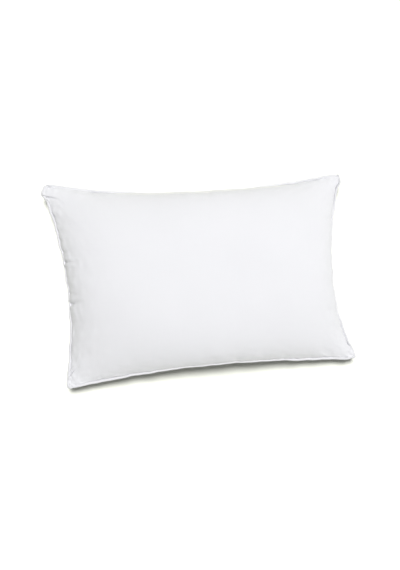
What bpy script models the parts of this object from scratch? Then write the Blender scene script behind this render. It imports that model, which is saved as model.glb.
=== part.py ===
"""Bed pillow, 50 x 75 cm, with a corded edge, lying flat on its back panel.

Metres, +Z up, X along the length and Y across the width. The origin is on the
surface that the pillow rests on, under its middle.
"""

import math

import bmesh
import bpy

# Overall form of the stuffed ticking, measured at the seam between the two panels
SEAM_LENGTH = 0.724  # between the seams of the two short sides, at the corners
SEAM_WIDTH = 0.468  # between the seams of the two long sides, at the corners
LOFT = 0.156  # height of the crown above the surface below
SEAM_HEIGHT = 0.066  # height of the seam at the middle of each side
CORNER_DROP = 0.026  # how far the seam comes down towards each corner
SHORT_SIDE_PULL = 0.041  # how far the middle of a short side is drawn in by the fill
LONG_SIDE_PULL = 0.030  # how far the middle of a long side is drawn in by the fill
PULL_POWER = 1.9  # how long the ears at the corners are: higher is shorter
CORNER_CUT = 0.012  # share of the diagonal that the rounded corner cuts off
CORNER_POWER = 30  # how near to its tip a corner starts to round
LENGTH_POWER = 2.6  # how square the crown's section is along the length, where 2 is an ellipse
WIDTH_POWER = 2.2  # the same across the width
CONTACT_SPREAD = 1.45  # how wide the flattened area under the pillow is

# Cloth, cord and threads
CLOTH_THICKNESS = 0.0004
CLEARANCE = 0.0003  # kept between pieces that touch
CORD_RADIUS = 0.0019
FLANGE_WIDTH = 0.008  # how far the piping's flange runs in between the panels
THREAD_RADIUS = 0.0002
SEAM_SIDES = 8  # sides of the round cord's section
STITCH_INSET = 0.003  # from the neck of the piping to the assembly seam

# Closing seam on the near long side
CLOSING_START_X = 0.10
CLOSING_END_X = 0.32
CLOSING_INSET_V = 0.984  # its place across the panel, where 1 is the side seam
CLOSING_POINTS = 14

# Filling
WRAP_THICKNESS = 0.012
WRAP_INSET = 0.0025  # from the panels' inner faces to the wrap
FILL_CORNER_ROUNDING = 0.22  # how much of each corner the filling leaves empty
WRAP_REACH = 0.93  # how far out the wrap reaches, where 1 is the seam
HOLLOW_REACH = 0.88  # how far out the hollow for the core reaches
CORE_REACH = 0.87
CORE_GAP = 0.0015  # between the wrap and the core
EDGE_POWER = 6  # how near to its rim the filling starts to round off
MOUTH_LENGTH = 0.80  # the folded batt is open along the near side and at both ends
MOUTH_DEPTH = 0.40
MOUTH_MIDDLE_Y = -0.05
MOUTH_HEIGHT = 0.004

# Care label on the far long side
LABEL_WIDTH = 0.025
LABEL_DROP = 0.030
LABEL_THICKNESS = 0.0003
LABEL_X = -0.20
LABEL_OUTSET = 0.0015  # from the seam line out to the tape's upper end
LABEL_SWING = 0.0035  # how much further out its lower end hangs
LABEL_STEPS = 6

PANEL_CELLS_X = 24
PANEL_CELLS_Y = 18
FILL_CELLS_X = 16
FILL_CELLS_Y = 12

COVER_RADIUS = CORD_RADIUS + CLEARANCE + CLOTH_THICKNESS
FLANGE_HALF_HEIGHT = CLEARANCE / 2 + CLOTH_THICKNESS
PANEL_LIFT = FLANGE_HALF_HEIGHT + CLEARANCE + CLOTH_THICKNESS  # from the seam up to a panel's face
BEAD_OFFSET = 0.0029  # from the seam line out to the middle of the cord


def new_collection(name):
    """Make a collection in the scene."""
    collection = bpy.data.collections.new(name)
    bpy.context.scene.collection.children.link(collection)
    return collection


def new_material(name, colour, roughness):
    """Make a plain surface of one colour; nothing on the pillow is metal."""
    material = bpy.data.materials.new(name)
    material.use_nodes = True
    shader = material.node_tree.nodes["Principled BSDF"]
    shader.inputs["Base Color"].default_value = (*colour, 1.0)
    shader.inputs["Roughness"].default_value = roughness
    shader.inputs["Metallic"].default_value = 0.0
    material.diffuse_color = (*colour, 1.0)
    return material


def add_object(name, data, collection, material=None):
    """Put a mesh or curve into a collection as one named piece."""
    piece = bpy.data.objects.new(name, data)
    collection.objects.link(piece)
    if material:
        data.materials.append(material)
    return piece


def ease(t):
    """Space grid lines closely near the seam and widely over the crown, for t from -1 to 1."""
    return math.sin(t * math.pi / 2)


def plan_point(u, v):
    """Place of (u, v) in plan: a rectangle with drawn-in sides and rounded corner tips."""
    half_length = SEAM_LENGTH / 2 - SHORT_SIDE_PULL * (1 - abs(v) ** PULL_POWER)
    half_width = SEAM_WIDTH / 2 - LONG_SIDE_PULL * (1 - abs(u) ** PULL_POWER)
    rounding = 1 - CORNER_CUT * abs(u * v) ** CORNER_POWER
    return u * half_length * rounding, v * half_width * rounding


def seam_level(u, v):
    """Height of the surface through the seam, which comes down to each corner and levels off."""
    near = abs(u * v)
    return SEAM_HEIGHT - CORNER_DROP * near * near * (3 - 2 * near)


def fullness(u, v):
    """Share of the full height at (u, v): a squarish ellipse both ways, and 0 at the seam."""
    return math.sqrt(max(0.0, (1 - abs(u) ** LENGTH_POWER) * (1 - abs(v) ** WIDTH_POWER)))


def top_height(u, v):
    """Height of the crowned upper side."""
    return seam_level(u, v) + (LOFT - SEAM_HEIGHT - PANEL_LIFT) * fullness(u, v)


def bottom_height(u, v):
    """Height of the lower side, which rounds down into the flat area that it rests on."""
    fall = max(0.0, 1 - fullness(u, v) * CONTACT_SPREAD)
    return seam_level(u, v) * fall * fall


def rim_loop():
    """Points (u, v) once round the seam, closer together at the corners, from above anticlockwise."""
    across = [ease(-1 + 2 * i / PANEL_CELLS_X) for i in range(PANEL_CELLS_X)]
    along = [ease(-1 + 2 * i / PANEL_CELLS_Y) for i in range(PANEL_CELLS_Y)]
    near = [(u, -1.0) for u in across]
    right = [(1.0, v) for v in along]
    far = [(-u, 1.0) for u in across]
    left = [(-1.0, -v) for v in along]
    return near + right + far + left


def outline(offset, lift):
    """Points round the seam line, moved outwards by an offset and up by a lift."""
    loop = rim_loop()
    plan = [plan_point(u, v) for u, v in loop]
    points = []
    for i, (u, v) in enumerate(loop):
        before = plan[i - 1]
        after = plan[(i + 1) % len(plan)]
        run = (after[0] - before[0], after[1] - before[1])
        length = math.hypot(*run)
        outward = (run[1] / length, -run[0] / length)
        x = plan[i][0] + offset * outward[0]
        y = plan[i][1] + offset * outward[1]
        points.append((x, y, seam_level(u, v) + lift))
    return points


def panel_surface(height, lift, facing_up):
    """Grid over one side of the pillow, as an open surface that faces outwards."""
    sheet = bmesh.new()
    bmesh.ops.create_grid(sheet, x_segments=PANEL_CELLS_X, y_segments=PANEL_CELLS_Y, size=1)
    for vert in sheet.verts:
        u = ease(vert.co.x)
        v = ease(vert.co.y)
        x, y = plan_point(u, v)
        vert.co = (x, y, max(0.0, height(u, v) + lift))
    if not facing_up:
        bmesh.ops.reverse_faces(sheet, faces=sheet.faces[:])
    return sheet


def mesh_from(sheet, name):
    """Turn a bmesh into a smooth-shaded mesh."""
    mesh = bpy.data.meshes.new(name)
    sheet.to_mesh(mesh)
    sheet.free()
    mesh.shade_smooth()
    return mesh


def add_panel(name, height, lift, facing_up, collection, material):
    """One cloth panel: the open surface with the cloth's thickness added on its inner side."""
    mesh = mesh_from(panel_surface(height, lift, facing_up), name)
    panel = add_object(name, mesh, collection, material)
    cloth = panel.modifiers.new("Cloth thickness", "SOLIDIFY")
    cloth.thickness = CLOTH_THICKNESS
    cloth.offset = -1.0
    return panel


def loop_curve(name, points):
    """Closed curve through points, kept upright all the way round."""
    curve = bpy.data.curves.new(name, "CURVE")
    curve.dimensions = "3D"
    curve.twist_mode = "Z_UP"
    spline = curve.splines.new("POLY")
    spline.points.add(len(points) - 1)
    for place, point in zip(spline.points, points):
        place.co = (*point, 1.0)
    spline.use_cyclic_u = True
    return curve


def add_cord(name, points, radius, resolution, collection, material):
    """Round cord or thread that runs once round the pillow."""
    curve = loop_curve(name, points)
    curve.bevel_depth = radius
    curve.bevel_resolution = resolution
    return add_object(name, curve, collection, material)


def cover_profile():
    """Section of the folded strip: out along the flange, round the cord and back, as a thin wall."""
    neck = math.asin((CLEARANCE / 2) / (COVER_RADIUS - CLOTH_THICKNESS))
    outer_neck = math.asin(FLANGE_HALF_HEIGHT / COVER_RADIUS)
    turns = SEAM_SIDES
    outer = []
    inner = []
    for i in range(turns + 1):
        share = i / turns
        outer_angle = math.pi - outer_neck - share * 2 * (math.pi - outer_neck)
        inner_angle = -(math.pi - neck) + share * 2 * (math.pi - neck)
        bore = COVER_RADIUS - CLOTH_THICKNESS
        outer.append((COVER_RADIUS * math.cos(outer_angle), COVER_RADIUS * math.sin(outer_angle)))
        inner.append((bore * math.cos(inner_angle), bore * math.sin(inner_angle)))
    flange_end = -BEAD_OFFSET - FLANGE_WIDTH
    upper = [(flange_end, CLEARANCE / 2), (flange_end, FLANGE_HALF_HEIGHT)]
    lower = [(flange_end, -FLANGE_HALF_HEIGHT), (flange_end, -CLEARANCE / 2)]
    return upper + outer + lower + inner


def add_piping_cover(name, collection, guides, material):
    """Folded strip carried round the seam, open along its flange."""
    section = bpy.data.curves.new(name + "_section", "CURVE")
    section.dimensions = "2D"
    spline = section.splines.new("POLY")
    points = cover_profile()
    spline.points.add(len(points) - 1)
    for place, (out, up) in zip(spline.points, points):
        place.co = (out, up, 0.0, 1.0)
    spline.use_cyclic_u = True
    guide = add_object(name + "_section", section, guides)
    guide.hide_render = True
    guide.display_type = "WIRE"
    curve = loop_curve(name, outline(BEAD_OFFSET, 0.0))
    curve.bevel_mode = "OBJECT"
    curve.bevel_object = guide
    return add_object(name, curve, collection, material)


def add_closing_thread(name, height, lift, collection, material):
    """Straight run of stitches that shuts the gap that the filling went in by."""
    curve = bpy.data.curves.new(name, "CURVE")
    curve.dimensions = "3D"
    curve.bevel_depth = THREAD_RADIUS
    curve.bevel_resolution = 1
    curve.use_fill_caps = True
    spline = curve.splines.new("POLY")
    spline.points.add(CLOSING_POINTS - 1)
    for i, place in enumerate(spline.points):
        along = CLOSING_START_X + (CLOSING_END_X - CLOSING_START_X) * i / (CLOSING_POINTS - 1)
        u = along / (SEAM_LENGTH / 2)
        x, y = plan_point(u, -CLOSING_INSET_V)
        place.co = (x, y, height(u, -CLOSING_INSET_V) + lift, 1.0)
    return add_object(name, curve, collection, material)


def filling_solid(reach, inset, name):
    """Closed lens inside the ticking, clear of both panels by an inset and rounded at its edge."""
    solid = bmesh.new()
    for side in (1, -1):
        made = bmesh.ops.create_grid(
            solid, x_segments=FILL_CELLS_X, y_segments=FILL_CELLS_Y, size=1
        )
        for vert in made["verts"]:
            s = ease(vert.co.x)
            t = ease(vert.co.y)
            u = s * reach * math.sqrt(1 - FILL_CORNER_ROUNDING * t * t)
            v = t * reach * math.sqrt(1 - FILL_CORNER_ROUNDING * s * s)
            x, y = plan_point(u, v)
            top = top_height(u, v) - inset
            bottom = bottom_height(u, v) + inset
            middle = (top + bottom) / 2
            edge = math.sqrt(max(0.0, (1 - s**EDGE_POWER) * (1 - t**EDGE_POWER)))
            vert.co = (x, y, middle + side * (top - bottom) / 2 * edge)
        if side < 0:
            faces = {face for vert in made["verts"] for face in vert.link_faces}
            bmesh.ops.reverse_faces(solid, faces=list(faces))
    bmesh.ops.remove_doubles(solid, verts=solid.verts[:], dist=0.00001)
    return mesh_from(solid, name)


def add_wrap(name, collection, guides, material):
    """Batt folded once round the far side of the core, and open on its three other sides."""
    inset = WRAP_INSET + CLOTH_THICKNESS
    wrap = add_object(name, filling_solid(WRAP_REACH, inset, name), collection, material)
    hollow = add_object(
        name + "_hollow",
        filling_solid(HOLLOW_REACH, inset + WRAP_THICKNESS, name + "_hollow"),
        guides,
    )
    mouth_mesh = bmesh.new()
    bmesh.ops.create_cube(mouth_mesh, size=1)
    mouth = add_object(name + "_mouth", mesh_from(mouth_mesh, name + "_mouth"), guides)
    mouth.scale = (MOUTH_LENGTH, MOUTH_DEPTH, MOUTH_HEIGHT)
    mouth.location = (0, MOUTH_MIDDLE_Y, SEAM_HEIGHT)
    for cutter in (hollow, mouth):
        cutter.hide_render = True
        cutter.display_type = "WIRE"
        cut = wrap.modifiers.new("Cut " + cutter.name, "BOOLEAN")
        cut.operation = "DIFFERENCE"
        cut.object = cutter
    return wrap


def add_label(name, collection, material):
    """Blank tape caught in the far seam, hanging down outside the back panel."""
    u = LABEL_X / (SEAM_LENGTH / 2)
    seam_y = plan_point(u, 1.0)[1]
    level = seam_level(u, 1.0)
    start = -PANEL_LIFT - COVER_RADIUS - CLEARANCE
    sheet = bmesh.new()
    rows = []
    for i in range(LABEL_STEPS + 1):
        share = i / LABEL_STEPS
        y = seam_y + LABEL_OUTSET + LABEL_SWING * math.sin(share * math.pi / 2)
        z = level + start - LABEL_DROP * share
        row = [sheet.verts.new((LABEL_X + side * LABEL_WIDTH / 2, y, z)) for side in (-1, 1)]
        rows.append(row)
    for upper, lower in zip(rows, rows[1:]):
        sheet.faces.new((upper[0], upper[1], lower[1], lower[0]))
    label = add_object(name, mesh_from(sheet, name), collection, material)
    tape = label.modifiers.new("Tape thickness", "SOLIDIFY")
    tape.thickness = LABEL_THICKNESS
    tape.offset = 0.0
    return label


def build():
    """Make every piece of the pillow."""
    for leftover in list(bpy.data.objects):
        bpy.data.objects.remove(leftover, do_unlink=True)
    pillow = new_collection("bed_pillow")
    guides = new_collection("guides")
    ticking = new_material("white_ticking", (0.86, 0.86, 0.88), 0.8)
    piping = new_material("white_bias_strip", (0.88, 0.88, 0.88), 0.75)
    cord = new_material("cotton_cord", (0.80, 0.78, 0.72), 0.9)
    thread = new_material("polyester_thread", (0.90, 0.90, 0.90), 0.5)
    batt = new_material("carded_batt", (0.84, 0.84, 0.83), 0.95)
    fibre = new_material("hollow_fibre", (0.82, 0.82, 0.80), 0.95)
    tape = new_material("satin_tape", (0.88, 0.88, 0.89), 0.45)

    add_panel("front_panel", top_height, PANEL_LIFT, True, pillow, ticking)
    add_panel("back_panel", bottom_height, -PANEL_LIFT, False, pillow, ticking)
    add_piping_cover("piping_cover", pillow, guides, piping)
    add_cord("piping_cord", outline(BEAD_OFFSET, 0.0), CORD_RADIUS, 2, pillow, cord)
    thread_lift = FLANGE_HALF_HEIGHT + CLEARANCE + THREAD_RADIUS
    add_cord(
        "seam_needle_thread",
        outline(-STITCH_INSET, thread_lift),
        THREAD_RADIUS,
        0,
        pillow,
        thread,
    )
    add_cord(
        "seam_bobbin_thread",
        outline(-STITCH_INSET, -thread_lift),
        THREAD_RADIUS,
        0,
        pillow,
        thread,
    )
    closing_lift = PANEL_LIFT + CLEARANCE + THREAD_RADIUS
    add_closing_thread("closing_needle_thread", top_height, closing_lift, pillow, thread)
    add_closing_thread("closing_bobbin_thread", bottom_height, -closing_lift, pillow, thread)
    add_wrap("fibre_wrap", pillow, guides, batt)
    core_inset = WRAP_INSET + CLOTH_THICKNESS + WRAP_THICKNESS + CORE_GAP
    core = filling_solid(CORE_REACH, core_inset, "fibre_fill")
    add_object("fibre_fill", core, pillow, fibre)
    add_label("care_label", pillow, tape)


build()
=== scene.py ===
"""Bed pillow with a corded edge: the looks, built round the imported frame."""

import math

import bpy
import numpy as np
from bpy.props import FloatProperty, FloatVectorProperty, IntProperty, PointerProperty
from mathutils import Matrix, Vector


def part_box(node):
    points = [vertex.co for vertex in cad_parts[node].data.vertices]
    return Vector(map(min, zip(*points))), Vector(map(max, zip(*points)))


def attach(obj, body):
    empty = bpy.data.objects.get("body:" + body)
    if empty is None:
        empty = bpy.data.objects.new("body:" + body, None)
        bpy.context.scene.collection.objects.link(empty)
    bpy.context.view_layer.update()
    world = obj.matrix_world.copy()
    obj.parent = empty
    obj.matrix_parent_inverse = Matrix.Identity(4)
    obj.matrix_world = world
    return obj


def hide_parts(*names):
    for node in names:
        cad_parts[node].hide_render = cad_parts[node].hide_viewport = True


bl_info = {
    "name": "Bed Pillow",
    "version": (1, 0, 0),
    "blender": (4, 5, 0),
    "location": "3D View > Sidebar > Pillow",
    "description": "Sews, stuffs and finishes a bed pillow with a corded edge",
    "category": "Add Mesh",
}

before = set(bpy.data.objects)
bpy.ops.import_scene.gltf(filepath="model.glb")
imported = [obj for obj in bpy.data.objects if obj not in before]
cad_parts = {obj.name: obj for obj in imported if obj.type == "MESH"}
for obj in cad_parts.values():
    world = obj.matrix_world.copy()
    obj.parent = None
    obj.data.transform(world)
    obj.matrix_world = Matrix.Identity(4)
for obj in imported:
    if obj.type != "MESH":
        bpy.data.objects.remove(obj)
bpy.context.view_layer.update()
PANEL_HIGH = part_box("front_panel")[1]
CLOSING_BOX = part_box("closing_needle_thread")
LABEL_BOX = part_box("care_label")

BODY = "root"
CLOTH_MAP = "cut_cloth"

# The four corners as (end, side): -1 or 1 along the length, then across the width
CORNERS = ((-1, 1), (1, 1), (1, -1), (-1, -1))


class PillowShape(bpy.types.PropertyGroup):
    """Sizes of the pillow that a maker would change."""

    cut_length: FloatProperty(
        name="Cut length",
        description="Length of each panel between its seams before it is stuffed",
        default=0.722,
        unit="LENGTH",
    )
    cut_width: FloatProperty(
        name="Cut width",
        description="Width of each panel between its seams before it is stuffed",
        default=0.482,
        unit="LENGTH",
    )
    loft: FloatProperty(
        name="Loft",
        description="Height of the crown above the surface below",
        default=PANEL_HIGH.z,
        unit="LENGTH",
    )
    seam_height: FloatProperty(
        name="Seam height",
        description="Height of the seam at the middle of each side",
        default=0.066,
        unit="LENGTH",
    )
    corner_drop: FloatProperty(
        name="Corner drop",
        description="How far the seam comes down to each corner",
        default=0.026,
        unit="LENGTH",
    )
    cord_radius: FloatProperty(
        name="Corded edge radius",
        description="Radius of the covered cord",
        default=0.0026,
        unit="LENGTH",
    )
    cloth_thickness: FloatProperty(
        name="Cloth thickness",
        description="Thickness of the ticking",
        default=0.0004,
        unit="LENGTH",
    )
    stitch_length: FloatProperty(
        name="Stitch length",
        description="Length of one stitch of the closing seam",
        default=0.0032,
        unit="LENGTH",
    )
    cells_long: IntProperty(
        name="Cloth cells along",
        description="Cells of simulated cloth along the pillow",
        default=132,
    )
    cells_wide: IntProperty(
        name="Cloth cells across",
        description="Cells of simulated cloth across the pillow",
        default=88,
    )


class PillowLooks(bpy.types.PropertyGroup):
    """Colours of the pillow and strength of the studio light."""

    cloth_colour: FloatVectorProperty(
        name="Ticking",
        description="Colour of the bleached cotton ticking",
        subtype="COLOR",
        size=3,
        default=(0.79, 0.79, 0.81),
    )
    cord_colour: FloatVectorProperty(
        name="Filler cord",
        description="Colour of the unbleached cord inside the edge",
        subtype="COLOR",
        size=3,
        default=(0.74, 0.71, 0.64),
    )
    thread_colour: FloatVectorProperty(
        name="Thread",
        description="Colour of the sewing thread",
        subtype="COLOR",
        size=3,
        default=(0.84, 0.84, 0.85),
    )
    fibre_colour: FloatVectorProperty(
        name="Fibre",
        description="Colour of the polyester filling",
        subtype="COLOR",
        size=3,
        default=(0.82, 0.82, 0.80),
    )
    floor_colour: FloatVectorProperty(
        name="Floor",
        description="Colour of the studio floor",
        subtype="COLOR",
        size=3,
        default=(0.56, 0.568, 0.52),
    )
    key_strength: FloatProperty(
        name="Key light",
        description="Strength of the soft light from above",
        default=2.86,
    )
    floor_strength: FloatProperty(
        name="Floor light",
        description="Strength of the soft light that keeps the floor white",
        default=6.2,
    )
    fill_strength: FloatProperty(
        name="Room light",
        description="Strength of the even light from all round",
        default=0.26,
    )


def shape():
    """Sizes in use."""
    return bpy.context.scene.pillow_shape


def looks():
    """Colours in use."""
    return bpy.context.scene.pillow_looks


# ---------------------------------------------------------------- materials


class Wire:
    """One socket's output in a material, which arithmetic extends with Math nodes."""

    def __init__(self, dye, socket):
        self.dye = dye
        self.socket = socket

    def _math(self, operation, *values):
        return self.dye.node("ShaderNodeMath", {"operation": operation}, dict(enumerate(values)))

    def __add__(self, other):
        return self._math("ADD", self, other)

    def __mul__(self, other):
        return self._math("MULTIPLY", self, other)

    def __abs__(self):
        return self._math("ABSOLUTE", self)

    def sine(self):
        """Sine of an angle in radians."""
        return self._math("SINE", self)

    __radd__ = __add__
    __rmul__ = __mul__


class Dye:
    """One material being mixed: its node tree, and the surface shader that it ends in."""

    def __init__(self, name):
        self.material = bpy.data.materials.new(name)
        self.material.use_nodes = True
        self.tree = self.material.node_tree
        self.surface = self.tree.nodes["Principled BSDF"]

    def node(self, kind, settings=None, sockets=None, output=0):
        """Add a node: its settings are set first, then each socket's value or link."""
        made = self.tree.nodes.new(kind)
        for key, value in (settings or {}).items():
            setattr(made, key, value)
        for key, value in (sockets or {}).items():
            self.plug(made.inputs[key], value)
        return Wire(self, made.outputs[output])

    def plug(self, socket, value):
        """Link a wire to a socket, or set the socket's own value."""
        if isinstance(value, Wire):
            self.tree.links.new(value.socket, socket)
        else:
            socket.default_value = value

    def finish(self, **sockets):
        """Set the surface shader's sockets, named with _ for a space."""
        for key, value in sockets.items():
            self.plug(self.surface.inputs[key.replace("_", " ")], value)
        return self.material

    def object_place(self):
        """Place in the piece's own space, in metres."""
        return self.node("ShaderNodeTexCoord", output="Object")

    def cloth_place(self):
        """Distance along the warp and the weft in the cut cloth, in metres."""
        place = self.node("ShaderNodeUVMap", {"uv_map": CLOTH_MAP})
        return place, self.split(place)

    def split(self, vector):
        """The X and Y of a vector."""
        made = self.tree.nodes.new("ShaderNodeSeparateXYZ")
        self.plug(made.inputs[0], vector)
        return Wire(self, made.outputs[0]), Wire(self, made.outputs[1])

    def scaled(self, vector, scale, turn=0.0):
        """A vector stretched by a scale and turned about Z."""
        return self.node(
            "ShaderNodeMapping",
            {},
            {"Vector": vector, "Rotation": (0.0, 0.0, turn), "Scale": scale},
        )

    def noise(self, vector, scale, detail=2.0, roughness=0.5):
        """Soft noise from 0 to 1."""
        return self.node(
            "ShaderNodeTexNoise",
            {},
            {"Vector": vector, "Scale": scale, "Detail": detail, "Roughness": roughness},
        )

    def tint(self, amount, low, high):
        """A colour between two, by an amount from 0 to 1."""
        made = self.tree.nodes.new("ShaderNodeMix")
        made.data_type = "RGBA"
        self.plug(made.inputs["Factor"], amount)
        first, second = (socket for socket in made.inputs if socket.type == "RGBA")
        self.plug(first, (*low, 1.0))
        self.plug(second, (*high, 1.0))
        mixed = next(socket for socket in made.outputs if socket.type == "RGBA")
        return Wire(self, mixed)

    def bump(self, height, distance, strength=1.0, below=None):
        """A bump of a height in metres, on top of the bump below it."""
        sockets = {"Height": height, "Distance": distance, "Strength": strength}
        if below:
            sockets["Normal"] = below
        return self.node("ShaderNodeBump", {}, sockets)


def shade(colour, amount):
    """A colour made lighter or darker by a share."""
    return tuple(min(1.0, channel * amount) for channel in colour)


THREAD_PITCH = 0.0006  # from one thread of the weave to the next
SLUB_ACROSS = 900.0  # how often a slub comes across its thread and along it, each metre
SLUB_ALONG = 14.0
TWIST_ALONG = 9000.0  # how fast a thread's plies turn along it and round it
TWIST_AROUND = 5000.0
RIB_TURN = 9000.0  # how fast the ribs of a satin tape follow each other


def woven_cloth(name, colour, turn=0.0):
    """Plain-woven cotton: crossing threads, long slubs both ways, and a faint soft crumple."""
    dye = Dye(name)
    place, _ = dye.cloth_place()
    wander = dye.noise(place, 180.0)
    threads = dye.scaled(place, (math.pi / THREAD_PITCH, math.pi / THREAD_PITCH, 1.0), turn)
    across, along = dye.split(threads)
    warp = (across + wander * 2.0).sine()
    weft = (along + wander * 2.0).sine()
    crossings = abs(warp * weft)
    warp_slub = dye.noise(dye.scaled(place, (SLUB_ACROSS, SLUB_ALONG, 1.0), turn), 1.0, 3.0)
    weft_slub = dye.noise(dye.scaled(place, (SLUB_ALONG, SLUB_ACROSS, 1.0), turn), 1.0, 3.0)
    slubs = (warp_slub + weft_slub) * 0.5
    crumple = dye.noise(place, 34.0, 4.0, 0.55)
    wear = dye.noise(place, 9.0, 3.0, 0.5)
    mottle = slubs * 0.55 + wear * 0.45
    fine = dye.bump(crossings * 0.6 + slubs * 0.8, 0.00006, 0.55)
    soft = dye.bump(crumple, 0.0009, 0.35, fine)
    return dye.finish(
        Base_Color=dye.tint(mottle, shade(colour, 0.955), shade(colour, 1.045)),
        Roughness=0.78 + mottle * 0.14,
        Normal=soft,
        Sheen_Weight=0.12,
        Sheen_Roughness=0.4,
        Specular_IOR_Level=0.25,
    )


def spun_thread(name, colour):
    """Two-ply thread: a twist running round it, and a little fuzz."""
    dye = Dye(name)
    place, (along, around) = dye.cloth_place()
    ply = (along * TWIST_ALONG + around * TWIST_AROUND).sine()
    fuzz = dye.noise(place, 4000.0, 2.0)
    return dye.finish(
        Base_Color=dye.tint(fuzz, shade(colour, 0.9), shade(colour, 1.05)),
        Roughness=0.45 + fuzz * 0.2,
        Normal=dye.bump(ply + fuzz * 0.3, 0.00005, 0.6),
        Sheen_Weight=0.1,
        Specular_IOR_Level=0.4,
    )


def carded_fibre(name, colour):
    """Loose polyester fibre: long combed strands with soft lumps between them."""
    dye = Dye(name)
    place = dye.object_place()
    strands = dye.noise(dye.scaled(place, (60.0, 700.0, 500.0), 0.3), 1.0, 5.0, 0.65)
    crossing = dye.noise(dye.scaled(place, (700.0, 90.0, 500.0), -0.4), 1.0, 5.0, 0.65)
    lumps = dye.noise(place, 24.0, 4.0, 0.6)
    web = strands * 0.5 + crossing * 0.5
    return dye.finish(
        Base_Color=dye.tint(web * 0.6 + lumps * 0.4, shade(colour, 0.86), shade(colour, 1.06)),
        Roughness=0.88 + web * 0.1,
        Normal=dye.bump(lumps, 0.003, 0.6, dye.bump(web, 0.0006, 0.8)),
        Sheen_Weight=0.3,
        Sheen_Roughness=0.5,
        Specular_IOR_Level=0.3,
    )


def satin_tape(name, colour):
    """Blank satin label tape: fine ribs along it with a soft gloss."""
    dye = Dye(name)
    place, (across, _) = dye.cloth_place()
    ribs = (across * RIB_TURN).sine()
    grain = dye.noise(dye.scaled(place, (2500.0, 60.0, 1.0)), 1.0, 3.0)
    return dye.finish(
        Base_Color=dye.tint(grain, shade(colour, 0.95), shade(colour, 1.03)),
        Roughness=0.38 + grain * 0.16,
        Normal=dye.bump(ribs * 0.5 + grain, 0.00004, 0.5),
        Sheen_Weight=0.05,
        Specular_IOR_Level=0.5,
    )


def studio_floor(name, colour):
    """Matt white board with the faintest grain."""
    dye = Dye(name)
    place = dye.object_place()
    grain = dye.noise(place, 5.0, 4.0)
    return dye.finish(
        Base_Color=dye.tint(grain, shade(colour, 0.995), shade(colour, 1.005)),
        Roughness=0.9,
        Specular_IOR_Level=0.1,
    )


# ---------------------------------------------------------------- surfaces


def grid_faces(rows, columns, closed_rows=False, closed_columns=False):
    """Corner numbers of the quads of a grid, which may join up with itself either way."""
    index = np.arange(rows * columns).reshape(rows, columns)
    if closed_rows:
        index = np.concatenate([index, index[:1]])
    if closed_columns:
        index = np.concatenate([index, index[:, :1]], axis=1)
    corners = (index[:-1, :-1], index[1:, :-1], index[1:, 1:], index[:-1, 1:])
    return np.stack(corners, axis=-1).reshape(-1, 4)


def make_mesh(name, points, faces, cloth=None, smooth=True):
    """Mesh from arrays of points and quads; cloth gives each point its place in the cut cloth."""
    mesh = bpy.data.meshes.new(name)
    mesh.from_pydata(points.reshape(-1, 3), [], faces.tolist())
    if cloth is not None:
        layer = mesh.uv_layers.new(name=CLOTH_MAP)
        layer.data.foreach_set("uv", cloth[faces.ravel()].astype(np.float32).ravel())
    if smooth:
        mesh.shade_smooth()
    mesh.update()
    return mesh


def add_piece(name, mesh, material, replaced=()):
    """Put a finished piece on the frame, in place of the plain solids that it stands for."""
    piece = bpy.data.objects.new(name, mesh)
    bpy.context.scene.collection.objects.link(piece)
    mesh.materials.append(material)
    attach(piece, BODY)
    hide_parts(*replaced)
    return piece


def spaced(cells, gather=0.35):
    """Steps from -1 to 1: even ones, drawn together towards both ends by a share of a sine."""
    even = np.linspace(-1, 1, cells + 1)
    return (1 - gather) * even + gather * np.sin(even * np.pi / 2)


def unit(vectors):
    """Vectors brought to length 1."""
    return vectors / np.maximum(np.linalg.norm(vectors, axis=-1, keepdims=True), 1e-12)


def grid_normals(points):
    """Cross product of the steps along the two ways of a grid, upwards for a grid in X and Y."""
    return unit(np.cross(np.gradient(points, axis=0), np.gradient(points, axis=1)))


def refined(values, axis):
    """A grid with a new line halfway between each two, on the cubic through the four nearest."""
    values = np.moveaxis(values, axis, 0)
    before = 2 * values[:1] - values[1:2]
    after = 2 * values[-1:] - values[-2:-1]
    wider = np.concatenate([before, values, after])
    halfway = (9 * (wider[1:-2] + wider[2:-1]) - wider[:-3] - wider[3:]) / 16
    result = np.empty((2 * len(values) - 1, *values.shape[1:]))
    result[::2] = values
    result[1::2] = halfway
    return np.moveaxis(result, 0, axis)


def smoothed_loop(values, reach):
    """Values round a loop, each the Gaussian mean of those near it."""
    offsets = np.arange(-3 * reach, 3 * reach + 1)
    weights = np.exp(-0.5 * (offsets / reach) ** 2)
    weights /= weights.sum()
    return sum(w * np.roll(values, -o, axis=0) for w, o in zip(weights, offsets))


# ---------------------------------------------------------------- the sewn ticking

PULL_POWER = 1.9  # how long the ears are: higher is shorter
EAR_CUTS = (0.016, 0.014, 0.009, 0.002)  # share of the diagonal that rounds off each ear
CORNER_POWER = 30  # how near to its tip an ear starts to round
LENGTH_POWER = 3.0  # how square the crown's section is along the length, where 2 is an ellipse
WIDTH_POWER = 2.4  # the same across the width
CONTACT_SPREAD = 1.45  # how wide the flattened area under the pillow is
EAR_THINNING = 0.30  # how much flatter the ears are than the middles of the sides
# How far the stuffing draws in the middle of each side, and how much more of that is
# towards its right or far end
LEFT_PULL = (0.0267, -0.03)
RIGHT_PULL = (0.0553, -0.15)
NEAR_PULL = (0.0212, -0.18)
FAR_PULL = (0.0368, -0.16)
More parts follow.
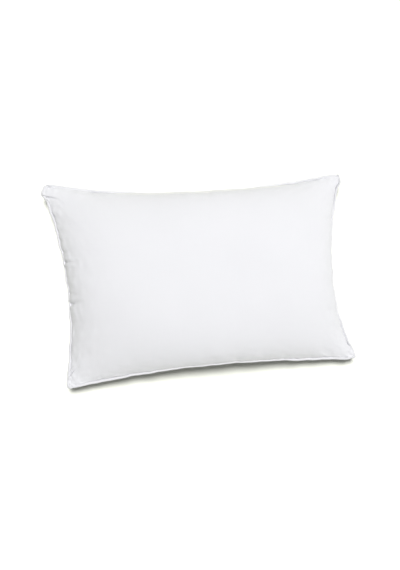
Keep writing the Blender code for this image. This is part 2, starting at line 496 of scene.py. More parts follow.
# How each ear lies away from the even rectangle, in the order of CORNERS, and its reach
EAR_SHIFTS = ((-0.0090, 0.0030), (0.0028, -0.0050), (-0.0004, -0.0006), (0.0115, 0.0015))
EAR_POWER = 1.5
WAVER = 0.0008  # how far the seam wavers either way
TAB_PLACE = 0.915  # where the tab by an ear is along its side, and its width
TAB_WIDTH = 0.045
LEFT_TABS = (0.0005, 0.0080)  # how far the tab by each ear stands out, near end and far end
RIGHT_TABS = (0.0020, 0.0030)
LONG_TABS = (0.0010, 0.0010)
LONG_SHARE = 0.6  # how much of the waver the long sides show
RIM_POWER = 8  # how close the waver keeps to the seam

# The cloth simulation
CLOTH_FRAMES = 20
CLOTH_QUALITY = 4
CLOTH_STIFFNESS = 15.0
CLOTH_SHEAR = 5.0
CLOTH_BENDING = 0.05
CLOTH_PRESSURE = 0.5
CLOTH_KEPT_VOLUME = 1.0
TOUCHING = 0.00001  # height below which the cloth lies on the surface below
GATHER = 0.035  # how much longer the cloth is along a seam than the cord that it is sewn to
GATHER_POWER = 10  # how close the gathers keep to the seam
UNEVENNESS = 0.004  # spread of the seeded heights, and how close they keep to the seams
UNEVEN_POWER = 6


def section_map(cloth_place, half_span, half_height, power):
    """Share of the half span reached at each share of the cloth's length over a squarish arch.

    The arch is x = sin(a), z = height * sqrt(1 - x ** power), measured along its curve.
    """
    angle = np.linspace(0, np.pi / 2, 4001)
    across = np.sin(angle)
    up = half_height / half_span * np.sqrt(np.maximum(0.0, 1 - across**power))
    run = np.concatenate([[0], np.cumsum(np.hypot(np.diff(across), np.diff(up)))])
    return np.sign(cloth_place) * np.interp(np.abs(cloth_place), run / run[-1], across)


def edge_wander(along, phase, tabs):
    """How a side wavers along its run: three sines, and a tab that stands out by each ear.

    tabs holds how far the tab stands out at the low end and at the high end of the run.
    """
    waver = np.sin(19 * along + phase) + 0.7 * np.sin(37 * along + 2.3 * phase)
    waver = waver + 0.5 * np.sin(71 * along + 3.1 * phase)
    waver = WAVER * waver * (1 - np.abs(along) ** RIM_POWER)
    for end, tab in zip((-1, 1), tabs):
        waver = waver + tab * np.exp(-(((along - end * TAB_PLACE) / TAB_WIDTH) ** 2))
    return waver


def side_pull(pull, along):
    """How far a side is drawn in at places along it: pull * (1 - |along| ** power), skewed."""
    return pull[0] * (1 - np.abs(along) ** PULL_POWER) * (1 + pull[1] * along)


def seam_surface(u, v):
    """Surface through the seam at shares u and v of the half length and half width.

    In plan it is a rectangle with each side drawn in, each ear shifted and each tip rounded;
    its height comes down by a smooth step to each corner.
    """
    size = shape()
    x = u * PANEL_HIGH.x
    y = v * PANEL_HIGH.y
    x = x - (1 + u) / 2 * side_pull(RIGHT_PULL, v) + (1 - u) / 2 * side_pull(LEFT_PULL, v)
    y = y - (1 + v) / 2 * side_pull(FAR_PULL, u) + (1 - v) / 2 * side_pull(NEAR_PULL, u)
    for (end, side), (shift_x, shift_y) in zip(CORNERS, EAR_SHIFTS):
        weight = ((1 + end * u) * (1 + side * v) / 4) ** EAR_POWER
        x = x + weight * shift_x
        y = y + weight * shift_y
    at_end = np.abs(u) ** RIM_POWER
    at_side = np.abs(v) ** RIM_POWER
    right_wander = edge_wander(v, 2.0, RIGHT_TABS)
    left_wander = edge_wander(v, 0.0, LEFT_TABS)
    x = x + at_end * ((1 + u) / 2 * right_wander - (1 - u) / 2 * left_wander)
    y = y + np.sign(v) * at_side * LONG_SHARE * edge_wander(u, 4.0 + v, LONG_TABS)
    near = np.abs(u * v)
    cut = sum(
        share * (1 + end * u) * (1 + side * v) / 4 for (end, side), share in zip(CORNERS, EAR_CUTS)
    )
    rounding = 1 - cut * near**CORNER_POWER
    level = size.seam_height - size.corner_drop * near**2 * (3 - 2 * near)
    level = level + WAVER * (np.sin(27 * u + 5 * v) * at_side + np.sin(25 * v + 4 * u) * at_end)
    return np.stack([x * rounding, y * rounding, level], axis=-1)


def stuffed_start(s, t):
    """Front and back of the stuffed ticking at cloth coordinates s and t, before it settles.

    Above the seam it is a squarish elliptical crown, and below it rounds down to a flat area.
    """
    crown = shape().loft - shape().seam_height
    u = section_map(s, PANEL_HIGH.x, crown, LENGTH_POWER)
    v = section_map(t, PANEL_HIGH.y, crown, WIDTH_POWER)
    seam = seam_surface(u, v)
    share = (1 - np.abs(u) ** LENGTH_POWER) * (1 - np.abs(v) ** WIDTH_POWER)
    full = np.maximum(0.0, share) ** (0.5 + EAR_THINNING * np.abs(u * v) ** 2)
    front = seam.copy()
    front[..., 2] += crown * full
    back = seam.copy()
    back[..., 2] *= np.maximum(0.0, 1 - full * CONTACT_SPREAD) ** 2
    return front, back


def sewn_faces(rows, columns):
    """Quads of both panels, whose rim points are shared, and where each back point is kept."""
    front = np.arange(rows * columns)
    rim = np.ones((rows, columns), bool)
    rim[1:-1, 1:-1] = False
    rim = rim.ravel()
    back = front.copy()
    back[~rim] = rows * columns + np.arange((~rim).sum())
    faces = grid_faces(rows, columns)
    return np.concatenate([faces, back[faces][:, ::-1]]), back, rim


def settle(front, back, flat):
    """Cloth simulation of the sewn ticking, from its stuffed shape and its flat cut.

    The cloth keeps the lengths of the flat cut and the volume of its filling. The stiff cord
    holds its seam, and the area that it rests on stays where it is.
    """
    rows, columns = front.shape[:2]
    faces, back_of, rim = sewn_faces(rows, columns)
    points = np.concatenate([front.reshape(-1, 3), back.reshape(-1, 3)[~rim]])
    cut = np.concatenate([flat.reshape(-1, 3), flat.reshape(-1, 3)[~rim]])
    ticking = bpy.data.objects.new("ticking_cloth", make_mesh("ticking_cloth", points, faces))
    scene = bpy.context.scene
    scene.collection.objects.link(ticking)
    ticking.shape_key_add(name="stuffed")
    pattern = ticking.shape_key_add(name="flat cut")
    pattern.data.foreach_set("co", cut.astype(np.float32).ravel())
    pattern.value = 0.0
    held = ticking.vertex_groups.new(name="held")
    resting = (np.arange(len(points)) >= rows * columns) & (points[:, 2] < TOUCHING)
    resting[: rows * columns] |= rim
    held.add(np.nonzero(resting)[0].tolist(), 1.0, "REPLACE")
    corners = points[faces]
    volume = (
        np.einsum("ij,ij->i", corners[:, 0], np.cross(corners[:, 1], corners[:, 2])).sum()
        + np.einsum("ij,ij->i", corners[:, 0], np.cross(corners[:, 2], corners[:, 3])).sum()
    ) / 6
    modifier = ticking.modifiers.new("Cloth", "CLOTH")
    cloth = modifier.settings
    cloth.quality = CLOTH_QUALITY
    cloth.tension_stiffness = CLOTH_STIFFNESS
    cloth.compression_stiffness = CLOTH_STIFFNESS
    cloth.shear_stiffness = CLOTH_SHEAR
    cloth.bending_stiffness = CLOTH_BENDING
    cloth.vertex_group_mass = "held"
    cloth.rest_shape_key = pattern
    cloth.use_pressure = True
    cloth.uniform_pressure_force = CLOTH_PRESSURE
    cloth.use_pressure_volume = True
    cloth.target_volume = volume * CLOTH_KEPT_VOLUME
    cloth.effector_weights.gravity = 0.0
    modifier.collision_settings.use_collision = False
    modifier.point_cache.frame_start = 1
    modifier.point_cache.frame_end = CLOTH_FRAMES
    for step in range(1, CLOTH_FRAMES + 1):
        scene.frame_set(step)
    settled = ticking.evaluated_get(bpy.context.evaluated_depsgraph_get()).to_mesh()
    moved = np.empty(len(points) * 3, np.float32)
    settled.vertices.foreach_get("co", moved)
    moved = moved.reshape(-1, 3).astype(float)
    scene.frame_set(1)
    bpy.data.objects.remove(ticking)
    moved[:, 2] = np.maximum(moved[:, 2], 0.0)
    return moved[: rows * columns].reshape(front.shape), moved[back_of].reshape(front.shape)


def rim_numbers(rows, columns):
    """Grid places once round the rim, anticlockwise from above."""
    i = np.arange(rows - 1)
    j = np.arange(columns - 1)
    near = np.stack([i, np.zeros_like(i)], axis=-1)
    right = np.stack([np.full_like(j, rows - 1), j], axis=-1)
    far = np.stack([rows - 1 - i, np.full_like(i, columns - 1)], axis=-1)
    left = np.stack([np.zeros_like(j), columns - 1 - j], axis=-1)
    return np.concatenate([near, right, far, left])


# Least and most of each size of the small puckers by the seams
PUCKER_SPACING = (0.022, 0.060)
PUCKER_LENGTH = (0.015, 0.045)
PUCKER_WIDTH = (0.0030, 0.0060)
PUCKER_DEPTH = (0.0004, 0.0014)
PUCKER_LEAN = 0.35
PUCKER_MARGIN = 0.02  # left without puckers at the end of each side
# Folds of the front that stand out: start and end in the flat panel from its middle, as shares
# of its half length and half width, then width and depth
FRONT_FOLDS = (
    (-1.00, 0.19, -0.86, 0.178, 0.0036, 0.0056),
    (-1.00, -0.17, -0.86, -0.155, 0.0036, 0.0054),
    (-1.00, 0.28, -0.90, 0.27, 0.0030, 0.0020),
    (-1.02, 0.80, -0.88, 0.775, 0.0038, 0.0078),
    (-1.02, -0.82, -0.90, -0.73, 0.0038, 0.0066),
    (-0.98, -0.76, -0.91, -0.90, 0.0030, 0.0014),
    (1.00, 0.55, 0.95, 0.545, 0.0026, 0.0012),
    (1.00, -0.58, 0.94, -0.57, 0.0026, 0.0012),
    (0.99, -0.80, 0.90, -0.90, 0.0040, 0.0012),
)


def pucker_list(seed):
    """Start x, start y, end x, end y, width and depth of small puckers all round a flat panel."""
    dice = np.random.default_rng(seed)
    length = shape().cut_length
    width = shape().cut_width
    sides = (
        (length, (1, 0), (0, 1), (-length / 2, -width / 2)),
        (width, (0, 1), (-1, 0), (length / 2, -width / 2)),
        (length, (-1, 0), (0, -1), (length / 2, width / 2)),
        (width, (0, -1), (1, 0), (-length / 2, width / 2)),
    )
    found = []
    for run, way, inwards, corner in sides:
        steps = dice.uniform(*PUCKER_SPACING, int(run / PUCKER_SPACING[0]))
        along = np.cumsum(steps)
        along = along[along < run - PUCKER_MARGIN][:, None]
        count = len(along)
        lean = dice.uniform(-PUCKER_LEAN, PUCKER_LEAN, (count, 1))
        reach = dice.uniform(*PUCKER_LENGTH, (count, 1))
        start = np.array(corner) + along * np.array(way)
        end = start + reach * (np.array(inwards) + lean * np.array(way))
        wide = dice.uniform(*PUCKER_WIDTH, (count, 1))
        deep = dice.uniform(*PUCKER_DEPTH, (count, 1))
        found.append(np.concatenate([start, end, wide, deep], axis=1))
    return np.concatenate(found)


def pressed(points, flat, folds, side):
    """Press folds into a panel along its normals.

    Each fold is a valley with a low ridge on both sides, (1 - q) * exp(-q / 2) for q the square
    of the distance from its line over its width, and it fades out along its line.
    """
    normals = grid_normals(points) * side
    place = flat[..., None, :2]
    start, end = folds[:, 0:2], folds[:, 2:4]
    run = end - start
    share = np.sum((place - start) * run, axis=-1) / np.sum(run * run, axis=-1)
    held = np.clip(share, 0, 1)
    apart = np.linalg.norm(place - start - held[..., None] * run, axis=-1)
    q = (apart / folds[:, 4]) ** 2
    fade = np.clip((share + 0.02) / 0.2, 0, 1) * np.clip(1.15 - held, 0, 1) ** 1.2
    depth = np.sum(folds[:, 5] * fade * (1 - q) * np.exp(-q / 2), axis=-1)
    depth[(0, -1), :] = 0
    depth[:, (0, -1)] = 0
    return points - normals * depth[..., None]


def uneven(s, t, seed):
    """Small soft unevenness of height along the seams, from seeded numbers that are averaged."""
    lumps = np.random.default_rng(seed).normal(0, UNEVENNESS, s.shape)
    for axis in (0, 1):
        lumps = smoothed_loop(np.moveaxis(lumps, axis, 0), 1)
        lumps = np.moveaxis(lumps, 0, axis)
    near_seam = np.maximum(np.abs(s), np.abs(t)) ** UNEVEN_POWER * ((1 - s**2) * (1 - t**2) > 0)
    return (lumps * near_seam)[..., None] * (0, 0, 1)


def add_panels():
    """Simulate the ticking, refine it and make its two panels."""
    size = shape()
    crown = size.loft - size.seam_height
    s, t = np.meshgrid(spaced(size.cells_long), spaced(size.cells_wide), indexing="ij")
    front, back = stuffed_start(s, t)
    rounding = 1 - min(EAR_CUTS) * np.abs(s * t) ** CORNER_POWER
    flat = np.stack([s * size.cut_length / 2, t * size.cut_width / 2, np.zeros_like(s)], axis=-1)
    flat = flat * rounding[..., None]
    gathers = np.stack([np.abs(t), np.abs(s), np.zeros_like(s)], axis=-1) ** GATHER_POWER
    front = front + uneven(s, t, 3)
    back = back + uneven(s, t, 5) * (back[..., 2:] > TOUCHING)
    front, back = settle(front, back, flat * (1 + GATHER * gathers))
    for axis in (0, 1):
        front, back, flat, s, t = (refined(grid, axis) for grid in (front, back, flat, s, t))
    u = section_map(s, PANEL_HIGH.x, crown, LENGTH_POWER)
    v = section_map(t, PANEL_HIGH.y, crown, WIDTH_POWER)
    level = seam_surface(u, v)[..., 2]
    settled_crown = np.max(front[..., 2] - size.seam_height)
    front[..., 2] = level + (front[..., 2] - level) * crown / settled_crown
    half_cut = np.array([size.cut_length, size.cut_width]) / 2
    marked = np.array(FRONT_FOLDS) * np.concatenate([half_cut, half_cut, (1, 1)])
    front_folds = np.concatenate([pucker_list(7), marked])
    front = pressed(front, flat, front_folds, 1)
    back = pressed(back, flat, pucker_list(11), -1)
    back[..., 2] = np.maximum(back[..., 2], 0.0)
    cloth = (flat[..., :2] + half_cut).reshape(-1, 2)
    faces = grid_faces(*front.shape[:2])
    ticking = woven_cloth("white_ticking", looks().cloth_colour)
    for name, points, outward in (
        ("front_panel", front, faces),
        ("back_panel", back, faces[:, ::-1]),
    ):
        mesh = make_mesh(name + "_cloth", points, outward, cloth)
        panel = add_piece(name + "_cloth", mesh, ticking, [name])
        thickness = panel.modifiers.new("Cloth thickness", "SOLIDIFY")
        thickness.thickness = size.cloth_thickness
        thickness.offset = -1.0


def panel_points(name):
    """The grid of points of a finished panel."""
    mesh = bpy.data.objects[name + "_cloth"].data
    points = np.empty(len(mesh.vertices) * 3, np.float32)
    mesh.vertices.foreach_get("co", points)
    rows = 2 * shape().cells_long + 1
    columns = 2 * shape().cells_wide + 1
    return points.reshape(rows, columns, 3).astype(float)


# ---------------------------------------------------------------- edge, threads, filling


INNER_LINES = 3  # lines of the grid from the seam to where its outward way is read
OUTWARD_REACH = 5  # points over which that way is averaged


def seam_frame():
    """Points round the seam, and at each the ways outwards from it and up."""
    front = panel_points("front_panel")
    back = panel_points("back_panel")
    rows, columns = front.shape[:2]
    loop = rim_numbers(rows, columns)
    line = front[loop[:, 0], loop[:, 1]]
    inner_i = np.clip(loop[:, 0], INNER_LINES, rows - 1 - INNER_LINES)
    inner_j = np.clip(loop[:, 1], INNER_LINES, columns - 1 - INNER_LINES)
    inner = (front[inner_i, inner_j] + back[inner_i, inner_j]) / 2
    along = unit(np.roll(line, -1, axis=0) - np.roll(line, 1, axis=0))
    out = line - inner
    out = out - along * np.sum(out * along, axis=-1, keepdims=True)
    out = unit(smoothed_loop(unit(out), OUTWARD_REACH))
    out = unit(out - along * np.sum(out * along, axis=-1, keepdims=True))
    up = np.cross(out, along)
    up = up * np.sign(up[:, 2:])
    return line, out, up


def swept_loop(centre, out, up, profile_out, profile_up):
    """Surface of a section carried round a closed line: centre + out * a + up * b."""
    return (
        centre[:, None]
        + out[:, None] * profile_out[..., None]
        + up[:, None] * profile_up[..., None]
    )


def loop_lengths(line):
    """Distance along a closed line at each point."""
    steps = np.linalg.norm(np.roll(line, -1, axis=0) - line, axis=-1)
    return np.concatenate([[0], np.cumsum(steps)[:-1]])


CORD_SWELL = 0.03  # how much the cord's radius varies, and the two lengths that it varies over
CORD_SWELL_LENGTHS = (0.013, 0.047)
TONGUE_POWER = 6  # how narrow the strip's tongue is
TONGUE_FLATTENING = 0.6


def add_loop(name, centre, out, up, radius, sides, material, slot, replaced, tongue=0.0):
    """Round cord once round the pillow; a tongue draws its inner side out flat to the seam.

    Its section is a circle less tongue * max(0, -cos) ** power outwards, and its radius swells
    by the product of two sines of the distance along it.
    """
    angle = np.linspace(0, 2 * np.pi, sides, endpoint=False)
    length = loop_lengths(centre)
    short, long = (np.sin(length * 2 * np.pi / step) for step in CORD_SWELL_LENGTHS)
    swell = 1 + CORD_SWELL * short * long
    profile_out = radius * swell[:, None] * np.cos(angle)[None]
    profile_up = radius * swell[:, None] * np.sin(angle)[None]
    inner = np.maximum(0.0, -np.cos(angle)) ** TONGUE_POWER
    profile_out = profile_out - tongue * inner[None]
    profile_up = profile_up * (1 - TONGUE_FLATTENING * inner[None] * (tongue > 0))
    points = swept_loop(centre, out, up, profile_out, profile_up)
    faces = grid_faces(len(centre), sides, True, True)
    cloth = np.stack(np.broadcast_arrays(length[:, None], angle[None] * radius), axis=-1)
    mesh = make_mesh(name, points, faces, cloth.reshape(-1, 2))
    return add_piece(name, mesh, material, replaced)


STRIP_PAINTED_SHADE = 0.94  # share of the ticking's colour given to the piping's strip: painted shade that darkens the corded edge
STRIP_TONGUE = 0.0012  # how far the strip reaches in to the seam
CORD_ROOM = 0.0002  # between the strip and the cord inside it
COVER_SIDES = 16
CORD_SIDES = 8


def add_piping():
    """Covered cord all round the seam, and the cord inside it."""
    size = shape()
    line, out, up = seam_frame()
    path = (line + out * size.cord_radius, out, up)
    # The strip is the ticking's own white, darkened by painted shade along the corded edge
    painted_shade_strip_colour = shade(looks().cloth_colour, STRIP_PAINTED_SHADE)
    strip = woven_cloth("white_bias_strip", painted_shade_strip_colour, math.radians(45))
    cover = ("piping_cover_cloth", *path, size.cord_radius, COVER_SIDES, strip)
    add_loop(*cover, "piping", ["piping_cover"], STRIP_TONGUE)
    cord = spun_thread("cotton_cord", looks().cord_colour)
    inside = size.cord_radius - size.cloth_thickness - CORD_ROOM
    add_loop("piping_cord_twisted", *path, inside, CORD_SIDES, cord, "cord", ["piping_cord"])


SEAM_THREAD_RADIUS = 0.0002
SEAM_THREAD_APART = 0.0007  # from the seam line to each thread
THREAD_SIDES = 6


def add_seam_threads():
    """Needle and bobbin threads of the seam that joins the panels, in the ditch by the cord."""
    line, out, up = seam_frame()
    thread = spun_thread("polyester_thread", looks().thread_colour)
    section = (SEAM_THREAD_RADIUS, THREAD_SIDES)
    for name, side in (("seam_needle_thread", 1), ("seam_bobbin_thread", -1)):
        centre = line + up * SEAM_THREAD_APART * side
        add_loop(name + "_line", centre, out, up, *section, thread, "thread", [name])


STITCH_RINGS = 7
STITCH_GAP = 0.22  # share of each stitch's length where the thread is inside the cloth
STITCH_RADIUS = 0.00022
STITCH_LINE = 2  # line of the grid, counted from the seam, that the closing stitches follow
# Size of a stitch's cut-cloth map between its rings and round them
STITCH_MAP = (0.0004, 0.0002)


def stitch_run(points, normals, length):
    """Stitches along a line: each rises from the cloth, lies on it and goes in again.

    The line is read at even distances. A stitch is a tube over a share of each step, lifted by
    radius * 1.6 * (1.4 * sqrt(sin) - 0.6) over its length and tapered towards its ends.
    """
    steps = np.linalg.norm(np.diff(points, axis=0), axis=-1)
    run = np.concatenate([[0], np.cumsum(steps)])
    count = int(run[-1] // length)
    rings = np.linspace(0, 1, STITCH_RINGS)
    place = (np.arange(count)[:, None] + rings[None] * (1 - STITCH_GAP)) * length

    def read(values):
        """The values along the line at each ring of each stitch."""
        return np.stack([np.interp(place, run, values[:, k]) for k in range(3)], axis=-1)

    middle = read(points)
    normal = unit(read(normals))
    along = unit(np.gradient(middle, axis=1))
    side = np.cross(normal, along)
    lift = STITCH_RADIUS * 1.6 * (np.sin(np.pi * rings) ** 0.5 * 1.4 - 0.6)
    centre = middle + normal * lift[None, :, None]
    around = np.linspace(0, 2 * np.pi, THREAD_SIDES, endpoint=False)
    taper = np.clip(np.sin(np.pi * rings) * 3, 0.35, 1)[None, :, None, None] * STITCH_RADIUS
    return (
        centre[:, :, None]
        + side[:, :, None] * np.cos(around)[None, None, :, None] * taper
        + normal[:, :, None] * np.sin(around)[None, None, :, None] * taper
    )


def stitch_mesh(name, points):
    """Mesh of separate tubes with closed ends."""
    count, rings, sides = points.shape[:3]
    one = grid_faces(rings, sides, False, True)
    start = np.arange(count)[:, None, None] * rings * sides
    faces = (one[None] + start).reshape(-1, 4)[:, ::-1]
    mesh = bpy.data.meshes.new(name)
    first = np.arange(sides)
    last = (rings - 1) * sides + np.arange(sides)[::-1]
    caps = np.stack([first, last])[None] + start
    mesh.from_pydata(points.reshape(-1, 3), [], faces.tolist() + caps.reshape(-1, sides).tolist())
    layer = mesh.uv_layers.new(name=CLOTH_MAP)
    places = np.indices(points.shape[:3])[1:].reshape(2, -1).T * STITCH_MAP
    corner = np.empty(len(mesh.loops), np.int32)
    mesh.loops.foreach_get("vertex_index", corner)
    layer.data.foreach_set("uv", places[corner].astype(np.float32).ravel())
    mesh.shade_smooth()
    mesh.update()
    return mesh


def add_closing_stitches():
    """Stitches that shut the gap the filling went in by, on both panels beside the cord."""
    thread = spun_thread("closing_thread", looks().thread_colour)
    low, high = CLOSING_BOX[0].x, CLOSING_BOX[1].x
    for panel, name, side in (
        ("front_panel", "closing_needle_thread", 1),
        ("back_panel", "closing_bobbin_thread", -1),
    ):
        points = panel_points(panel)
        normals = (grid_normals(points) * side)[:, STITCH_LINE]
        line = points[:, STITCH_LINE]
        open_part = (line[:, 0] > low) & (line[:, 0] < high)
        run = stitch_run(line[open_part], normals[open_part], shape().stitch_length)
        mesh = stitch_mesh(name + "_stitches", run)
        add_piece(name + "_stitches", mesh, thread, [name])


FILL_CORNER_ROUNDING = 0.22  # how much of each ear the filling leaves empty
BATT_REACH = 0.92  # how far out the batt and the core reach, where 1 is the seam
CORE_REACH = 0.86
BATT_GAP = 0.004  # from the panels to the batt and to the core
CORE_GAP = 0.018
BATT_THICKNESS = 0.010
BATT_FOLD_STEPS = 9
CORE_EDGE_POWER = 6  # how near to its rim the core starts to round off
CORE_LUMPS = 0.03
FILL_CELLS = (72, 48)


def sampled(points, s, t):
    """Points of a panel at shares s and t of its half length and half width, between its own."""
    rows, columns = points.shape[:2]
    i = np.interp(s, refined(spaced(shape().cells_long), 0), np.arange(rows))
    j = np.interp(t, refined(spaced(shape().cells_wide), 0), np.arange(columns))
    low_i = np.minimum(i.astype(int), rows - 2)
    low_j = np.minimum(j.astype(int), columns - 2)
    a = (i - low_i)[..., None]
    b = (j - low_j)[..., None]
    lower = points[low_i, low_j] * (1 - a) + points[low_i + 1, low_j] * a
    upper = points[low_i, low_j + 1] * (1 - a) + points[low_i + 1, low_j + 1] * a
    return lower * (1 - b) + upper * b


def inside_panels(reach, gap):
    """Middle and half thickness of the space inside the panels, out to a reach, less a gap.

    The grid is drawn in at its corners by sqrt(1 - rounding * other ** 2).
    """
    a, b = np.meshgrid(*(np.linspace(-1, 1, n + 1) for n in FILL_CELLS), indexing="ij")
    s = a * reach * np.sqrt(1 - FILL_CORNER_ROUNDING * b**2)
    t = b * reach * np.sqrt(1 - FILL_CORNER_ROUNDING * a**2)
    front = sampled(panel_points("front_panel"), s, t)
    back = sampled(panel_points("back_panel"), s, t)
    half = (front - back) / 2
    depth = np.linalg.norm(half, axis=-1, keepdims=True)
    return a[..., None], b[..., None], (front + back) / 2, half * (1 - gap / depth)


def add_core():
    """Loose fibre core: a lens that rounds off at its rim, with soft lumps from crossed sines."""
    a, b, middle, half = inside_panels(CORE_REACH, CORE_GAP)
    lumps = 1 - CORE_LUMPS * (1 + np.sin(a * 31 + b * 17) * np.sin(b * 23 - a * 11))
    rim_fall = (1 - a**CORE_EDGE_POWER) * (1 - b**CORE_EDGE_POWER)
    swell = half * lumps * np.sqrt(np.maximum(0.0, rim_fall))
    faces, _, rim = sewn_faces(*middle.shape[:2])
    upper = (middle + swell).reshape(-1, 3)
    lower = (middle - swell).reshape(-1, 3)
    mesh = make_mesh("fibre_core", np.concatenate([upper, lower[~rim]]), faces)
    fibre = carded_fibre("hollow_fibre", looks().fibre_colour)
    return add_piece("fibre_core", mesh, fibre, ["fibre_fill"])


def add_batt():
    """Carded batt: one sheet over the core, round its far side and back underneath."""
    _, _, middle, half = inside_panels(BATT_REACH, BATT_GAP)
    turn = np.linspace(0, np.pi, BATT_FOLD_STEPS)[None, 1:-1, None]
    bulge = np.array([0.0, BATT_THICKNESS, 0.0])
    fold = middle[:, -1:] + half[:, -1:] * np.cos(turn) + bulge * np.sin(turn)
    sheet = np.concatenate([middle + half, fold, (middle - half)[:, ::-1]], axis=1)
    mesh = make_mesh("fibre_batt", sheet, grid_faces(*sheet.shape[:2]))
    fibre = carded_fibre("carded_batt", looks().fibre_colour)
    batt = add_piece("fibre_batt", mesh, fibre, ["fibre_wrap"])
    web = batt.modifiers.new("Web thickness", "SOLIDIFY")
    web.thickness = BATT_THICKNESS
    web.offset = -1.0
    return batt


def add_filling():
    """Both parts of the filling."""
    for piece in (add_core(), add_batt()):
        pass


LABEL_CELLS = (12, 20)
LABEL_THICKNESS = 0.0005
LABEL_TUCK = (0.0004, 0.0006)  # how far in and how far down the tape starts from the seam
LABEL_SWING = 0.0052  # how far it swings out over its fold, and then on to its lower end
LABEL_HANG = 0.0035
LABEL_CURL = 0.0012  # how much more its middle swings out than its edges
LABEL_SWAY = 0.0008


def add_label():
    """Blank satin tape folded in two, caught in the far seam and hanging outside the back panel.

    Down the tape it swings out by a sine that levels off and by the square of the distance.
    """
    line, _, _ = seam_frame()
    centre_x = (LABEL_BOX[0].x + LABEL_BOX[1].x) / 2
    width = LABEL_BOX[1].x - LABEL_BOX[0].x
    drop = LABEL_BOX[1].z - LABEL_BOX[0].z
    far = line[line[:, 1] > LABEL_BOX[0].y / 2]
    start = far[np.argmin(np.abs(far[:, 0] - centre_x))]
    a, b = np.meshgrid(*(np.linspace(0, 1, cells + 1) for cells in LABEL_CELLS), indexing="ij")
    a = a - 0.5
    x = centre_x + a * width + LABEL_SWAY * np.sin(b * 3.0)
    swing = LABEL_SWING * np.sin(np.minimum(b * 2.2, 1.4)) + LABEL_HANG * b**2
    y = start[1] - LABEL_TUCK[0] + swing + LABEL_CURL * b * np.cos(a * 5)
    z = start[2] - LABEL_TUCK[1] - drop * b * (1 - 0.05 * b)
    cloth = np.stack([a * width, b * drop], axis=-1).reshape(-1, 2)
    tape = satin_tape("satin_tape", looks().thread_colour)
    sheet = np.stack([x, y, z], axis=-1)
    mesh = make_mesh("care_label_tape", sheet, grid_faces(*a.shape), cloth)
    label = add_piece("care_label_tape", mesh, tape, ["care_label"])
    thickness = label.modifiers.new("Folded tape", "SOLIDIFY")
    thickness.thickness = LABEL_THICKNESS
    thickness.offset = 0.0


# ---------------------------------------------------------------- studio

SENSOR_HEIGHT = 24.0
FOCAL_LENGTH = 29.5
CAMERA_WAY = (-0.215, -0.038, 0.976)  # from the pillow towards the camera
CAMERA_ROLL = math.radians(-5.0)
CAMERA_DISTANCE = 1.66
CAMERA_TARGET = (-0.0234, -0.0222, 0.05)

FLOOR_REACH = 60.0  # from the pillow to each edge of the floor
FLOOR_GAP = 0.0003  # how far the floor is under the cloth that lies on it
# Ways from the pillow towards each lamp, and how wide each lamp looks
KEY_WAY = (0.15, 0.12, 0.981)
KEY_ANGLE = math.radians(16)
FLOOR_LIGHT_WAY = (-0.17, 0.32, 0.932)
FLOOR_LIGHT_ANGLE = math.radians(20)
ROOM_COLOUR = (0.975, 0.98, 1.0, 1.0)


def add_camera():
    """Camera above the pillow, from a little towards its left end, with the far side at the top."""
    data = bpy.data.cameras.new("camera")
    data.sensor_fit = "VERTICAL"
    data.sensor_height = SENSOR_HEIGHT
    data.lens = FOCAL_LENGTH
    camera = bpy.data.objects.new("camera", data)
    bpy.context.scene.collection.objects.link(camera)
    way = Vector(CAMERA_WAY).normalized()
    right = Vector((0, 1, 0)).cross(way).normalized()
    turn = Matrix((right, way.cross(right), way)).transposed()
    turn = Matrix.Rotation(CAMERA_ROLL, 3, way) @ turn
    place = Matrix.Translation(Vector(CAMERA_TARGET) + way * CAMERA_DISTANCE)
    camera.matrix_world = place @ turn.to_4x4()
    bpy.context.scene.camera = camera


def add_sun(name, way, strength, angle, floor, on_floor):
    """Soft lamp from far off that lights either the floor alone or all but the floor."""
    data = bpy.data.lights.new(name, "SUN")
    data.energy = strength
    data.angle = angle
    lamp = bpy.data.objects.new(name, data)
    lamp.rotation_euler = Vector(way).to_track_quat("Z", "Y").to_euler()
    bpy.context.scene.collection.objects.link(lamp)
    lit = bpy.data.collections.new(name + "_on")
    lit.objects.link(floor)
    lit.collection_objects[0].light_linking.link_state = "INCLUDE" if on_floor else "EXCLUDE"
    lamp.light_linking.receiver_collection = lit


def add_stage():
    """White floor, a soft light for it, a soft key light from above and even room light."""
    corners = np.array([(-1, -1, 0), (1, -1, 0), (1, 1, 0), (-1, 1, 0)]) * FLOOR_REACH
    corners[:, 2] -= FLOOR_GAP
    mesh = make_mesh("floor", corners, np.array([[0, 1, 2, 3]]), smooth=False)
    mesh.materials.append(studio_floor("white_board", looks().floor_colour))
    floor = bpy.data.objects.new("floor", mesh)
    bpy.context.scene.collection.objects.link(floor)
    add_sun("key", KEY_WAY, looks().key_strength, KEY_ANGLE, floor, False)
    add_sun("floor_light", FLOOR_LIGHT_WAY, looks().floor_strength, FLOOR_LIGHT_ANGLE, floor, True)
    world = bpy.data.worlds.new("room")
    world.use_nodes = True
    background = world.node_tree.nodes["Background"]
    background.inputs["Color"].default_value = ROOM_COLOUR
    background.inputs["Strength"].default_value = looks().fill_strength
    bpy.context.scene.world = world
    bpy.context.scene.view_settings.view_transform = "Standard"
    add_camera()


# ---------------------------------------------------------------- operators and panel


class PILLOW_OT_panels(bpy.types.Operator):
    """Sew, stuff and settle the two cloth panels"""

    bl_idname = "pillow.panels"
    bl_label = "Cloth Panels"

    def execute(self, context):
        add_panels()
        return {"FINISHED"}


class PILLOW_OT_piping(bpy.types.Operator):
    """Run the covered cord round the seam"""

    bl_idname = "pillow.piping"
    bl_label = "Corded Edge"

    def execute(self, context):
        add_piping()
        return {"FINISHED"}


class PILLOW_OT_seam_threads(bpy.types.Operator):
    """Lay the needle and bobbin threads in the seam"""

    bl_idname = "pillow.seam_threads"
    bl_label = "Seam Threads"

    def execute(self, context):
        add_seam_threads()
        return {"FINISHED"}


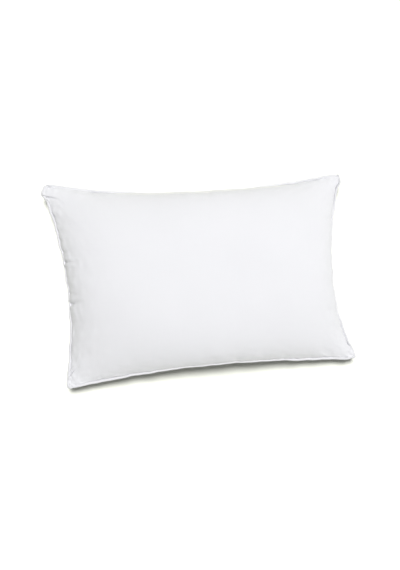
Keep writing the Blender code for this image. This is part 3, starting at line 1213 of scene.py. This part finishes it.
class PILLOW_OT_closing(bpy.types.Operator):
    """Stitch up the gap that the filling went in by"""

    bl_idname = "pillow.closing"
    bl_label = "Closing Stitches"

    def execute(self, context):
        add_closing_stitches()
        return {"FINISHED"}


class PILLOW_OT_filling(bpy.types.Operator):
    """Fill the ticking with a fibre core in a folded batt"""

    bl_idname = "pillow.filling"
    bl_label = "Filling"

    def execute(self, context):
        add_filling()
        return {"FINISHED"}


class PILLOW_OT_label(bpy.types.Operator):
    """Hang the blank label from the far seam"""

    bl_idname = "pillow.label"
    bl_label = "Label"

    def execute(self, context):
        add_label()
        return {"FINISHED"}


class PILLOW_OT_stage(bpy.types.Operator):
    """Set out the floor, the lights and the camera"""

    bl_idname = "pillow.stage"
    bl_label = "Studio"

    def execute(self, context):
        add_stage()
        return {"FINISHED"}


OPERATORS = (
    PILLOW_OT_stage,
    PILLOW_OT_panels,
    PILLOW_OT_piping,
    PILLOW_OT_seam_threads,
    PILLOW_OT_closing,
    PILLOW_OT_filling,
    PILLOW_OT_label,
)


class PILLOW_PT_maker(bpy.types.Panel):
    """Sizes, colours and steps of the pillow"""

    bl_idname = "PILLOW_PT_maker"
    bl_label = "Bed Pillow"
    bl_space_type = "VIEW_3D"
    bl_region_type = "UI"
    bl_category = "Pillow"

    def draw(self, context):
        layout = self.layout
        for group in (context.scene.pillow_shape, context.scene.pillow_looks):
            for name in group.__annotations__:
                layout.prop(group, name)
        for operator in OPERATORS:
            layout.operator(operator.bl_idname)


CLASSES = (PillowShape, PillowLooks, *OPERATORS, PILLOW_PT_maker)


def register():
    """Add the classes and the settings to Blender."""
    for item in CLASSES:
        bpy.utils.register_class(item)
    bpy.types.Scene.pillow_shape = PointerProperty(type=PillowShape)
    bpy.types.Scene.pillow_looks = PointerProperty(type=PillowLooks)


def unregister():
    """Take them away again."""
    del bpy.types.Scene.pillow_looks
    del bpy.types.Scene.pillow_shape
    for item in reversed(CLASSES):
        bpy.utils.unregister_class(item)


def main():
    """Make the whole pillow."""
    register()
    for operator in OPERATORS:
        group, name = operator.bl_idname.split(".")
        getattr(getattr(bpy.ops, group), name)()


if __name__ == "__main__":
    main()
